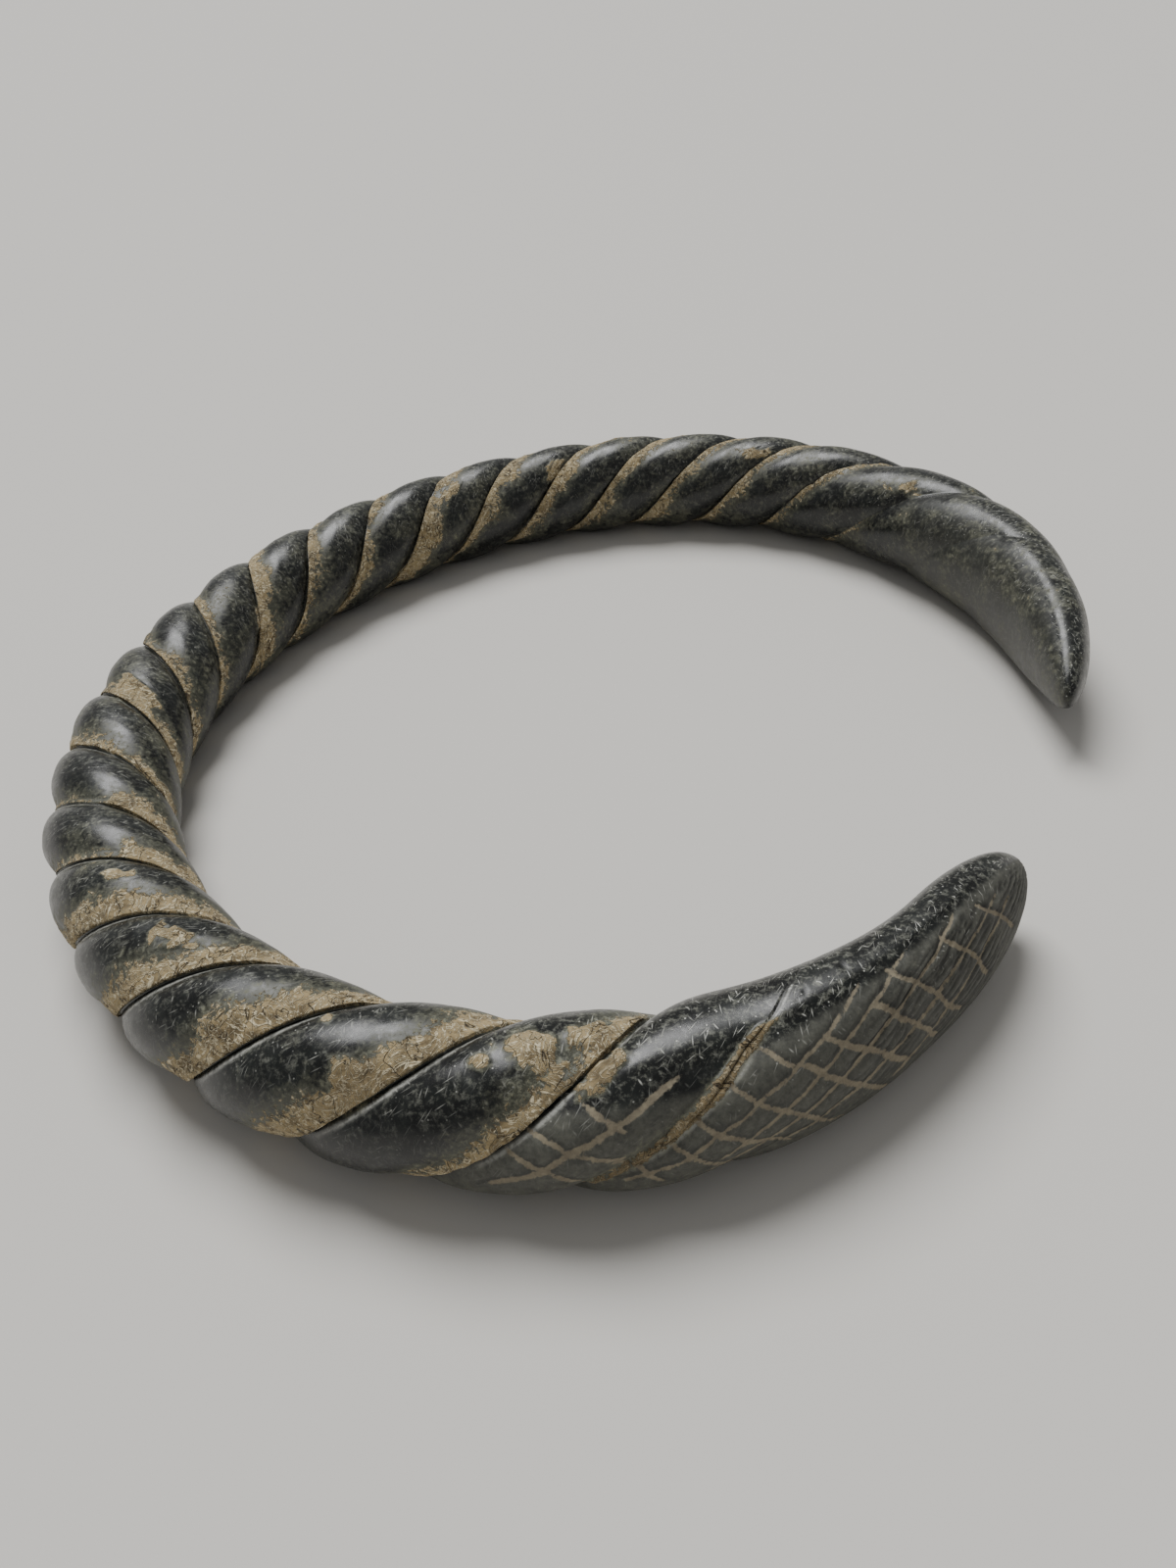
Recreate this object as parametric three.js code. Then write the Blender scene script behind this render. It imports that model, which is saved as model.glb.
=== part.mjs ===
// A carved stone bangle: an open ring of three twisted strands that run out into two flat blades.
// Millimetres, +Z up. The ring lies flat and the gap between the blades faces the lower right.
import * as THREE from 'three';

// Ring: the centre line is a slightly uneven oval, given by its distance from the ring's middle.
const ringRadius = 36;
const ovalStretch = 1.46;
const ovalDirection = 108.3;
const eggStretch = 0.51;
const eggDirection = 70.2;

// Angles run clockwise, in degrees, from the +X axis: near tip, past the front, left and back, far tip.
// A pair of angles is a stretch of the band: where a change begins and where it is complete.
const nearTip = 47.3;
const farTip = 377.8;
const nearBend = 3.26;
const nearBendStart = 101;
const farBend = 0.98;
const farBendStart = 357.5;

// Tips: the near one droops, the far one rises, and both flare a little outward.
const nearTipDroop = 0.62;
const nearDroopLength = 24;
const farTipRise = 0.34;
const farRiseLength = 28;
const nearTipFlare = 1.34;
const nearFlareLength = 16;
const farTipFlare = 0.28;
const farFlareLength = 18;

// Twisted body: outer radius over the strands, and the run of the grooves between them.
const bodyRadius = 4.4;
const strandCount = 3;
const grooveStep = 11.02;
const firstGroove = 92.5;
const grooveWaver = 0.124;
const grooveWaverStart = 155.6;
const grooveWaverLength = 150;
const waverRise = [95, 125];
const waverFall = [330, 300];
const nearTwistLag = 1.46;
const nearLagStretch = [95, 49];
const nearLagPower = 2;
const farTwistLag = 2.48;
const farLagStretch = [305, 382];
const farLagPower = 1.5;
const nearLean = 0.263;
const nearLeanStretch = [140, 60];
const farLean = -0.064;
const farLeanStretch = [240, 290];

// Grooves: depth, and the two flanks of a strand, the first one long and the second one steep.
const grooveDepth = 0.85;
const longFlank = 0.46;
const longFlankPower = 1.7;
const steepFlank = 0.44;
const steepFlankPower = 2.4;

// The grooves run out towards the blades, at the far one in two steps and later above than below.
const nearRunOut = [78, 92];
const farRunOutLean = 13;
const farRunOutShare = 0.3;
const farRunOutFirst = [305, 325];
const farRunOutSecond = [322, 350];

// Blades: taller than thick, swelling a little before they taper.
const bladeFlatness = 0.63;
const nearBlade = [96, 62];
const farBlade = [322, 360];
const nearTaper = 0.094;
const nearTaperStretch = [80, 48];
const farSwell = 0.057;
const farSwellStretch = [318, 340];
const farTaper = 0.474;
const farTaperStretch = [350, 382];
const nearTipRounding = 14.8;
const farTipRounding = 16.4;
const faceFlattening = 0.85;

// A shallow crease sets off each blade's rounded back, on the near blade's outer face, where it
// climbs along the blade, and on the far blade's inner face. Heights are degrees in the section.
const nearCreaseDepth = 0.28;
const farCreaseDepth = 0.12;
const creaseWidth = 10;
const creaseOnset = [0, 0.2];
const nearCreaseLow = 57;
const nearCreaseHigh = 77;
const nearCreaseRise = [104, 86];
const nearCreaseFall = [50, 60];
const nearCreaseClimb = [98, 62];
const farCreaseHeight = 66;
const farCreaseRise = [330, 348];
const farCreaseFall = [376, 366];
const creaseLimit = 0.3;

// Underside: wear has left each strand and blade a small flat that it rests on.
const wearDepth = 0.15;

// Mesh fineness: rings along the body, rings in each rounded tip, lines along each strand.
const bodyRings = 130;
const tipRings = 9;
const strandLines = [0, 0.1, 0.24, 0.4, 0.55, 0.7, 0.84, 0.94];

const turn = 2 * Math.PI;
const radians = THREE.MathUtils.degToRad;

// Rises smoothly from 0 to 1 over a stretch of the band, in either direction.
function ramp(angle, [start, end]) {
  const share = THREE.MathUtils.clamp((angle - start) / (end - start), 0, 1);
  return share * share * (3 - 2 * share);
}

// Grows from 0 to 1 over a stretch and on past it, with the given power.
function growth(angle, [start, end], power) {
  return Math.max((angle - start) / (end - start), 0) ** power;
}

function centreRadius(angle) {
  const oval = ovalStretch * Math.cos(radians(2 * (angle - ovalDirection)));
  const egg = eggStretch * Math.cos(radians(3 * (angle - eggDirection)));
  const near = nearBend * growth(angle, [nearBendStart, nearTip], 2);
  const far = farBend * growth(angle, [farBendStart, farTip], 2);
  const nearFlare = nearTipFlare * growth(angle, [nearTip + nearFlareLength, nearTip], 2);
  const farFlare = farTipFlare * growth(angle, [farTip - farFlareLength, farTip], 2);
  return ringRadius + oval + egg - near - far + nearFlare + farFlare;
}

function centreLevel(angle) {
  const swell = Math.max(halfHeight(angle) - bodyRadius, 0);
  const droop = nearTipDroop * growth(angle, [nearTip + nearDroopLength, nearTip], 2);
  const rise = farTipRise * growth(angle, [farTip - farRiseLength, farTip], 2);
  return swell - droop + rise;
}

// Share of the full section that is left by the rounding of the two tips.
function tipShare(angle) {
  const near = THREE.MathUtils.clamp((angle - nearTip) / nearTipRounding, 0, 1);
  const far = THREE.MathUtils.clamp((farTip - angle) / farTipRounding, 0, 1);
  return Math.sqrt(1 - (1 - near) ** 2) * Math.sqrt(1 - (1 - far) ** 2);
}

function bladeShare(angle) {
  return ramp(angle, nearBlade) + ramp(angle, farBlade);
}

function halfHeight(angle) {
  const near = nearTaper * ramp(angle, nearTaperStretch);
  const far = farSwell * ramp(angle, farSwellStretch) - farTaper * ramp(angle, farTaperStretch);
  return bodyRadius * (1 - near + far) * tipShare(angle);
}

function halfThickness(angle) {
  return halfHeight(angle) * (1 - (1 - bladeFlatness) * bladeShare(angle));
}

// Counts grooves along the band at the angle, for a point turned by 'around' in the section.
// Whole numbers are groove bottoms. 'around' starts outward and rises over the top.
function grooveCount(angle, around) {
  const waver = grooveWaver * Math.sin(turn * (angle - grooveWaverStart) / grooveWaverLength);
  const body = (angle - firstGroove) / grooveStep + waver * ramp(angle, waverRise) * ramp(angle, waverFall);
  const near = nearTwistLag * growth(angle, nearLagStretch, nearLagPower);
  const far = farTwistLag * growth(angle, farLagStretch, farLagPower);
  const lean = nearLean * ramp(angle, nearLeanStretch) + farLean * ramp(angle, farLeanStretch);
  return body + near - far + strandCount * around / turn + lean * Math.sin(around);
}

// The direction in the section where the groove count has a wanted value.
function aroundAt(angle, count) {
  const base = grooveCount(angle, 0);
  let low = (count - base - 1) * turn / strandCount;
  let high = (count - base + 1) * turn / strandCount;
  const halvings = 40;
  for (let step = 0; step < halvings; step += 1) {
    const middle = (low + high) / 2;
    if (grooveCount(angle, middle) < count) {
      low = middle;
    } else {
      high = middle;
    }
  }
  return (low + high) / 2;
}

// How much of the groove's depth is left; 1 is full depth.
function grooveShare(angle, around) {
  const far = angle - farRunOutLean * Math.sin(around);
  const first = farRunOutShare * ramp(far, farRunOutFirst);
  const second = (1 - farRunOutShare) * ramp(far, farRunOutSecond);
  return ramp(angle, nearRunOut) * (1 - first - second);
}

// Depth below the strand's crown, from 0 to 1, for the share of the way from one groove to the next.
function strandDrop(share) {
  const long = Math.max(1 - share / longFlank, 0) ** longFlankPower;
  const steep = Math.max(1 - (1 - share) / steepFlank, 0) ** steepFlankPower;
  return long + steep;
}

function creaseCut(angle, around) {
  const near = nearCreaseDepth * ramp(angle, nearCreaseRise) * ramp(angle, nearCreaseFall);
  const far = farCreaseDepth * ramp(angle, farCreaseRise) * ramp(angle, farCreaseFall);
  const nearHeight = THREE.MathUtils.lerp(nearCreaseLow, nearCreaseHigh, ramp(angle, nearCreaseClimb));
  const outward = Math.cos(around);
  const depth = (outward > 0 ? near : far) * ramp(Math.abs(outward), creaseOnset);
  const height = outward > 0 ? nearHeight : farCreaseHeight;
  const above = THREE.MathUtils.radToDeg(Math.asin(Math.sin(around)));
  return depth * Math.exp(-(((above - height) / creaseWidth) ** 2));
}

function surfacePoint(angle, around) {
  const share = THREE.MathUtils.euclideanModulo(grooveCount(angle, around), 1);
  const groove = grooveDepth * grooveShare(angle, around) * strandDrop(share) / bodyRadius;
  const outward = Math.cos(around);
  const roundness = THREE.MathUtils.lerp(1, faceFlattening, bladeShare(angle));
  const flattened = Math.sign(outward) * Math.abs(outward) ** roundness;
  const thickness = halfThickness(angle);
  const crease = Math.sign(outward) * Math.min(creaseCut(angle, around), creaseLimit * thickness);
  const radius = centreRadius(angle) + thickness * flattened * (1 - groove) - crease;
  const level = centreLevel(angle) + halfHeight(angle) * Math.sin(around) * (1 - groove);
  const theta = radians(-angle);
  return new THREE.Vector3(
    radius * Math.cos(theta),
    radius * Math.sin(theta),
    Math.max(level, wearDepth - bodyRadius),
  );
}

// Stations along the band, closer together where the tips round off.
function stationAngles() {
  const quarter = Math.PI / 2;
  const angles = [];
  for (let i = 1; i < tipRings; i += 1) {
    angles.push(nearTip + nearTipRounding * (1 - Math.cos(i / tipRings * quarter)));
  }
  const start = nearTip + nearTipRounding;
  const end = farTip - farTipRounding;
  for (let i = 0; i <= bodyRings; i += 1) {
    angles.push(THREE.MathUtils.lerp(start, end, i / bodyRings));
  }
  for (let i = tipRings - 1; i > 0; i -= 1) {
    angles.push(farTip - farTipRounding * (1 - Math.cos(i / tipRings * quarter)));
  }
  return angles;
}

// The lines of the mesh follow the strands, so each groove is a clean edge.
function bangleGeometry() {
  const angles = stationAngles();
  const counts = [];
  for (let strand = 0; strand < strandCount; strand += 1) {
    for (const line of strandLines) {
      counts.push(strand + line);
    }
  }
  const points = [];
  for (const angle of angles) {
    for (const count of counts) {
      points.push(surfacePoint(angle, aroundAt(angle, count)));
    }
  }
  const lines = counts.length;
  const last = (angles.length - 1) * lines;
  const faces = [];
  for (let ring = 0; ring < angles.length - 1; ring += 1) {
    for (let line = 0; line < lines; line += 1) {
      const next = (line + 1) % lines;
      const a = ring * lines + line;
      const b = ring * lines + next;
      const c = a + lines;
      const d = b + lines;
      faces.push(a, b, d);
      faces.push(a, d, c);
    }
  }
  const nearPole = points.length;
  points.push(surfacePoint(nearTip, 0));
  const farPole = points.length;
  points.push(surfacePoint(farTip, 0));
  for (let line = 0; line < lines; line += 1) {
    const next = (line + 1) % lines;
    faces.push(nearPole, next, line);
    faces.push(farPole, last + line, last + next);
  }
  const geometry = new THREE.BufferGeometry().setFromPoints(points);
  geometry.setIndex(faces);
  geometry.computeVertexNormals();
  return geometry;
}

const stone = new THREE.MeshStandardMaterial({ color: 0x2c2e30, roughness: 0.35, metalness: 0 });

const bangle = new THREE.Mesh(bangleGeometry(), stone);
bangle.name = 'bangle';

// The origin is the middle of the underside.
const box = new THREE.Box3().setFromObject(bangle);
const middle = box.getCenter(new THREE.Vector3());
bangle.position.set(-middle.x, -middle.y, -box.min.z);

const model = new THREE.Group();
model.add(bangle);

export default model;
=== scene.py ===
import math
import bpy
import numpy as np
from mathutils import Matrix, Vector, noise


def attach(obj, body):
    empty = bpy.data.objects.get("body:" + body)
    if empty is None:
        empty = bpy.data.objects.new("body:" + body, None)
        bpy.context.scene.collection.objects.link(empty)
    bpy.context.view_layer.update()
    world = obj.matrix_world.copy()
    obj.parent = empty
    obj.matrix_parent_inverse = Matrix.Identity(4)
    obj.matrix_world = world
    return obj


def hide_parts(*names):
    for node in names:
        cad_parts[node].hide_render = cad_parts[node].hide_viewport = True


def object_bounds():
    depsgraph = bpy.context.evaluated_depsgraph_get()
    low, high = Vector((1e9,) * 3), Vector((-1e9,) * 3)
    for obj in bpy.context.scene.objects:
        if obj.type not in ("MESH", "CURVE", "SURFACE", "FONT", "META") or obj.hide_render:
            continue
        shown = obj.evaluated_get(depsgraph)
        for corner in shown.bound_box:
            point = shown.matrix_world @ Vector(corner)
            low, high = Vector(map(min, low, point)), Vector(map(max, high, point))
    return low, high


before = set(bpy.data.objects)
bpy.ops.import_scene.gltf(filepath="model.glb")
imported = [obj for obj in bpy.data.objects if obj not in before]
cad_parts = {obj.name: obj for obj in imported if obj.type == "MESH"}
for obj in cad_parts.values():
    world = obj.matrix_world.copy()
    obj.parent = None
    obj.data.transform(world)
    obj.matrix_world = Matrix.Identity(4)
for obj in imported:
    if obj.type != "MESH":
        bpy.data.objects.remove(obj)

# Twisted bangle of polished black stone: three strands that run out into two flat blades.
# Form and places are in millimetres and degrees, and the finished mesh is in metres.

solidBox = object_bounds()
millimetre = 0.001
turn = 2 * np.pi
halvings = 40                       # rounds of narrowing down a groove's place
noiseStep = (7.3, 3.1, 5.7)         # how far apart the places are that each seed reads noise from


# Helpers

def deselectAll():
    if bpy.context.mode != "OBJECT":
        bpy.ops.object.mode_set(mode="OBJECT")
    bpy.ops.object.select_all(action="DESELECT")


def hexColor(code):
    # sRGB hex to the linear colour that a shader socket wants
    parts = [int(code[i:i + 2], 16) / 255 for i in (1, 3, 5)]
    linear = [p / 12.92 if p <= 0.04045 else ((p + 0.055) / 1.055) ** 2.4 for p in parts]
    return (*linear, 1)


def ramp(value, stretch):
    # smooth 0 to 1 over a stretch, in either direction
    start, end = stretch
    share = np.clip((value - start) / (end - start), 0, 1)
    return share * share * (3 - 2 * share)


def growth(value, stretch, power):
    # 0 to 1 over a stretch and on past it
    start, end = stretch
    return np.maximum((value - start) / (end - start), 0) ** power


def ridge(distance, width):
    # 1 on a line, falling off softly to both sides
    return np.exp(-(distance / width) ** 2)


def clumps(points, size, seed):
    # soft noise from -1 to 1 with features of the given size, at points in millimetres
    shift = Vector([seed * step for step in noiseStep])
    return np.array([noise.noise(Vector(p) / size + shift) for p in points.tolist()])


# The bangle's form. Angles run clockwise from +X, from the near tip to the far tip, and a pair of
# them is a stretch of the band where a change begins and where it is complete. Many of these values,
# and the camera's, are rounded results of a scratch program that fitted this form to the
# photograph's outline and groove lines.

ring = {
    "radius": 36.0, "ovalStretch": 1.46, "ovalDirection": 108.3, "eggStretch": 0.51, "eggDirection": 70.2,
    "nearTip": 47.3, "farTip": 377.8,
    "nearBend": 3.26, "nearBendStart": 101, "farBend": 0.98, "farBendStart": 357.5,
    "nearDroop": 0.62, "nearDroopLength": 24, "farRise": 0.34, "farRiseLength": 28,
    "nearFlare": 1.34, "nearFlareLength": 16, "farFlare": 0.28, "farFlareLength": 18,
}

body = {
    "radius": 4.4, "strands": 3, "grooveStep": 11.02, "firstGroove": 92.5, "wear": 0.15,
    "waver": 0.124, "waverStart": 155.6, "waverLength": 150, "waverRise": (95, 125), "waverFall": (330, 300),
    "nearLag": 1.46, "nearLagStretch": (95, 49),
    "farLag": 2.48, "farLagStretch": (305, 382), "farLagPower": 1.5,
    "nearLean": 0.263, "nearLeanStretch": (140, 60), "farLean": -0.064, "farLeanStretch": (240, 290),
    "grooveDepth": 0.85, "longFlank": 0.46, "longPower": 1.7, "steepFlank": 0.44, "steepPower": 2.4,
    "nearRunOut": (78, 92), "farRunOutLean": 13, "farRunOutShare": 0.3,
    "farRunOutFirst": (305, 325), "farRunOutSecond": (322, 350),
}

blade = {
    "flatness": 0.63, "near": (96, 62), "far": (322, 360), "faceFlattening": 0.85,
    "nearTaper": 0.094, "nearTaperStretch": (80, 48), "farSwell": 0.057, "farSwellStretch": (318, 340),
    "farTaper": 0.474, "farTaperStretch": (350, 382), "nearRounding": 14.8, "farRounding": 16.4,
    "nearCreaseDepth": 0.28, "farCreaseDepth": 0.12, "creaseWidth": 10, "creaseOnset": (0, 0.2),
    "creaseLimit": 0.3, "nearCreaseLow": 57, "nearCreaseHigh": 77, "nearCreaseClimb": (98, 62),
    "nearCreaseRise": (104, 86), "nearCreaseFall": (50, 60),
    "farCreaseHeight": 66, "farCreaseRise": (330, 348), "farCreaseFall": (376, 366),
}


def centreRadius(angle):
    oval = ring["ovalStretch"] * np.cos(np.radians(2 * (angle - ring["ovalDirection"])))
    egg = ring["eggStretch"] * np.cos(np.radians(3 * (angle - ring["eggDirection"])))
    near = ring["nearBend"] * growth(angle, (ring["nearBendStart"], ring["nearTip"]), 2)
    far = ring["farBend"] * growth(angle, (ring["farBendStart"], ring["farTip"]), 2)
    nearFlareFrom = ring["nearTip"] + ring["nearFlareLength"]
    farFlareFrom = ring["farTip"] - ring["farFlareLength"]
    nearFlare = ring["nearFlare"] * growth(angle, (nearFlareFrom, ring["nearTip"]), 2)
    farFlare = ring["farFlare"] * growth(angle, (farFlareFrom, ring["farTip"]), 2)
    return ring["radius"] + oval + egg - near - far + nearFlare + farFlare


def tipShare(angle):
    near = np.clip((angle - ring["nearTip"]) / blade["nearRounding"], 0, 1)
    far = np.clip((ring["farTip"] - angle) / blade["farRounding"], 0, 1)
    return np.sqrt(1 - (1 - near) ** 2) * np.sqrt(1 - (1 - far) ** 2)


def bladeShare(angle):
    return ramp(angle, blade["near"]) + ramp(angle, blade["far"])


def halfHeight(angle):
    near = blade["nearTaper"] * ramp(angle, blade["nearTaperStretch"])
    swell = blade["farSwell"] * ramp(angle, blade["farSwellStretch"])
    far = swell - blade["farTaper"] * ramp(angle, blade["farTaperStretch"])
    return body["radius"] * (1 - near + far) * tipShare(angle)


def centreLevel(angle):
    swell = np.maximum(halfHeight(angle) - body["radius"], 0)
    droopFrom = ring["nearTip"] + ring["nearDroopLength"]
    riseFrom = ring["farTip"] - ring["farRiseLength"]
    droop = ring["nearDroop"] * growth(angle, (droopFrom, ring["nearTip"]), 2)
    rise = ring["farRise"] * growth(angle, (riseFrom, ring["farTip"]), 2)
    return swell - droop + rise


def halfThickness(angle):
    return halfHeight(angle) * (1 - (1 - blade["flatness"]) * bladeShare(angle))


def grooveCount(angle, around):
    # whole numbers are groove bottoms; around is 0 outward and a quarter turn on top
    waver = body["waver"] * np.sin(turn * (angle - body["waverStart"]) / body["waverLength"])
    waver = waver * ramp(angle, body["waverRise"]) * ramp(angle, body["waverFall"])
    lag = body["nearLag"] * growth(angle, body["nearLagStretch"], 2)
    lag = lag - body["farLag"] * growth(angle, body["farLagStretch"], body["farLagPower"])
    lean = body["nearLean"] * ramp(angle, body["nearLeanStretch"])
    lean = lean + body["farLean"] * ramp(angle, body["farLeanStretch"])
    along = (angle - body["firstGroove"]) / body["grooveStep"]
    return along + waver + lag + body["strands"] * around / turn + lean * np.sin(around)


def aroundAt(angle, count):
    # the direction in the section where the groove count has a wanted value
    base = grooveCount(angle, 0 * angle)
    low = (count - base - 1) * turn / body["strands"]
    high = (count - base + 1) * turn / body["strands"]
    for step in range(halvings):
        middle = (low + high) / 2
        below = grooveCount(angle, middle) < count
        low = np.where(below, middle, low)
        high = np.where(below, high, middle)
    return (low + high) / 2


def grooveShare(angle, around):
    # how much of the groove's depth is left where the grooves run out on the blades
    far = angle - body["farRunOutLean"] * np.sin(around)
    first = body["farRunOutShare"] * ramp(far, body["farRunOutFirst"])
    second = (1 - body["farRunOutShare"]) * ramp(far, body["farRunOutSecond"])
    return ramp(angle, body["nearRunOut"]) * (1 - first - second)


def strandDrop(share):
    long = np.maximum(1 - share / body["longFlank"], 0) ** body["longPower"]
    steep = np.maximum(1 - (1 - share) / body["steepFlank"], 0) ** body["steepPower"]
    return long + steep


def nearCreaseHeight(angle):
    climb = ramp(angle, blade["nearCreaseClimb"])
    return blade["nearCreaseLow"] + (blade["nearCreaseHigh"] - blade["nearCreaseLow"]) * climb


def creaseCut(angle, around):
    near = blade["nearCreaseDepth"] * ramp(angle, blade["nearCreaseRise"])
    near = near * ramp(angle, blade["nearCreaseFall"])
    far = blade["farCreaseDepth"] * ramp(angle, blade["farCreaseRise"])
    far = far * ramp(angle, blade["farCreaseFall"])
    outward = np.cos(around)
    depth = np.where(outward > 0, near, far) * ramp(np.abs(outward), blade["creaseOnset"])
    height = np.where(outward > 0, nearCreaseHeight(angle), blade["farCreaseHeight"])
    above = np.degrees(np.arcsin(np.sin(around)))
    return depth * ridge(above - height, blade["creaseWidth"])


def surfacePoints(angle, around):
    # points of the plain carved form, in millimetres about the ring's middle
    share = grooveCount(angle, around) % 1
    groove = body["grooveDepth"] * grooveShare(angle, around) * strandDrop(share) / body["radius"]
    outward = np.cos(around)
    roundness = 1 + (blade["faceFlattening"] - 1) * bladeShare(angle)
    flattened = np.sign(outward) * np.abs(outward) ** roundness
    thickness = halfThickness(angle)
    crease = np.sign(outward) * np.minimum(creaseCut(angle, around), blade["creaseLimit"] * thickness)
    radius = centreRadius(angle) + thickness * flattened * (1 - groove) - crease
    level = centreLevel(angle) + halfHeight(angle) * np.sin(around) * (1 - groove)
    theta = np.radians(-angle)
    return np.stack([radius * np.cos(theta), radius * np.sin(theta), level], -1)


# The mesh: a flat grid is rolled into the band, its rows following the strands

grid = {
    "along": 700, "around": 140,
    "finer": 2.0, "finerStretch": (175, 110),           # closer rows where the camera is near
    "tipCrowding": 1.6, "tipReach": 9, "tipNearest": 0.004, "grooveCrowding": 0.055,
    "samples": 20001, "decimals": 9, "mergeDistance": 1e-6,
}


def stationAngles(shares):
    # angle along the band for each share of the grid's length, closer together at the tips
    angles = np.linspace(ring["nearTip"], ring["farTip"], grid["samples"])
    fromTip = np.minimum(angles - ring["nearTip"], ring["farTip"] - angles) + grid["tipNearest"]
    density = 1 + grid["finer"] * ramp(angles, grid["finerStretch"])
    density += grid["tipCrowding"] / np.sqrt(fromTip) * np.exp(-fromTip / grid["tipReach"])
    total = np.concatenate([[0], np.cumsum((density[1:] + density[:-1]) / 2)])
    return np.interp(shares, total / total[-1], angles)


def writeField(mesh, name, values):
    mesh.attributes.new(name, "FLOAT", "POINT").data.foreach_set("value", values.astype(np.float32))


def readField(mesh, name):
    values = np.zeros(len(mesh.vertices), np.float32)
    mesh.attributes[name].data.foreach_get("value", values)
    return values.astype(float)


def makeBand():
    deselectAll()
    bpy.ops.mesh.primitive_grid_add(x_subdivisions=grid["along"], y_subdivisions=grid["around"], size=1)
    piece = bpy.context.object
    piece.name = "twistedBangle"
    mesh = piece.data
    mesh.name = piece.name
    flat = np.zeros(len(mesh.vertices) * 3)
    mesh.vertices.foreach_get("co", flat)
    flat = flat.reshape(-1, 3) + 0.5
    angle = stationAngles(flat[:, 0])
    strand = flat[:, 1] * body["strands"]
    strand -= grid["grooveCrowding"] * np.sin(turn * strand)      # closer rows beside each groove
    strand = np.round(strand, grid["decimals"])                    # whole along a groove's own row
    around = aroundAt(angle, strand)
    points = surfacePoints(angle, around)
    centre = (points.min(0) + points.max(0)) / 2
    points -= (centre[0], centre[1], body["wear"] - body["radius"])
    points[:, 2] = np.maximum(points[:, 2], 0)
    points[:, :2] += [(solidBox[0][i] + solidBox[1][i]) / 2 / millimetre for i in (0, 1)]
    mesh.vertices.foreach_set("co", (points * millimetre).ravel())
    writeField(mesh, "angle", angle)
    writeField(mesh, "around", (np.degrees(around) + 90) % 360 - 90)     # -90 to 270, seam underneath
    writeField(mesh, "share", strand % 1)
    layer = mesh.uv_layers.active
    layer.name = "strandMap"
    flatUv = np.zeros(len(layer.data) * 2)
    layer.data.foreach_get("uv", flatUv)
    flatUv = flatUv.reshape(-1, 2)
    # metres along the band and across the strands, so a pattern can follow the twist
    flatUv[:, 0] = np.radians(stationAngles(flatUv[:, 0])) * ring["radius"] * millimetre
    flatUv[:, 1] *= turn * body["radius"] * millimetre
    layer.data.foreach_set("uv", flatUv.ravel())
    bpy.ops.object.mode_set(mode="EDIT")
    bpy.ops.mesh.select_all(action="SELECT")
    bpy.ops.mesh.remove_doubles(threshold=grid["mergeDistance"])         # closes the seam and both poles
    bpy.ops.mesh.normals_make_consistent(inside=False)
    bpy.ops.object.mode_set(mode="OBJECT")
    bpy.ops.object.shade_smooth()
    return piece


# Carving: incised lines on the near blade's outer face, each with its angle where around is 20,
# how far it leans per degree of around, from and to which around it runs, and its half width.
# These places, and many of the earth spots' below, were read off the photograph as pixels, turned
# into angles by a scratch program and then adjusted.

cuts = [
    (56.3, 0.089, 10, 62, 0.17), (62.0, 0.07, -3, 63, 0.18), (67.0, 0.083, -10, 67, 0.18),
    (70.4, 0.088, -14, 52, 0.18), (74.3, 0.115, -12, 48, 0.2), (77.8, 0.1, -30, 38, 0.18),
    (77.9, 0.13, 44, 58, 0.16), (82.6, 0.11, -28, 46, 0.17), (87.2, 0.14, -18, 28, 0.17),
    (90.6, 0.115, -20, 14, 0.15), (95.6, 0.142, -14, 4, 0.17), (91.0, 0.143, 34, 48, 0.16),
    (95.7, 0.2, 10, 33, 0.17), (100.7, 0.19, -4, 17, 0.17),
    (62.0, -0.255, -18, 42, 0.12), (69.3, -0.324, -12, 56, 0.13), (76.4, -0.256, -20, 68, 0.14),
    (80.6, -0.211, -4, 70, 0.12), (85.1, -0.224, -14, 68, 0.12), (96.2, -0.198, -6, 54, 0.2),
]

cutting = {
    "middle": 20, "depth": 0.08, "waver": 0.05, "waverTurn": 0.1, "roughness": 0.2, "fadeLength": 8,
    "shadeOffset": 0.2, "shadeWidth": 0.11, "shadeDepth": 0.064, "shadeTone": 0.6,
    "strokeStretch": (82, 68), "strokeTop": (72, 60), "strokeBottom": (-40, -20),
    "strokeLeans": (0.2, 0.34), "strokeStep": 2.4, "strokeBend": 2.6, "strokeWidth": 0.15,
    "strokeDepth": 0.09, "strokeFaint": 0.6, "strokeGaps": (-0.25, 0.05),
}

# Earth left in each groove, from the near blade on: the share of the strand that it covers
grooveEarth = [
    0.06, 0.18, 0.28, 0.3, 0.25, 0.25, 0.3, 0.25, 0.17, 0.13, 0.15, 0.11,
    0.26, 0.2, 0.17, 0.25, 0.22, 0.25, 0.21, 0.17, 0.16, 0.08, 0.03,
]

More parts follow.
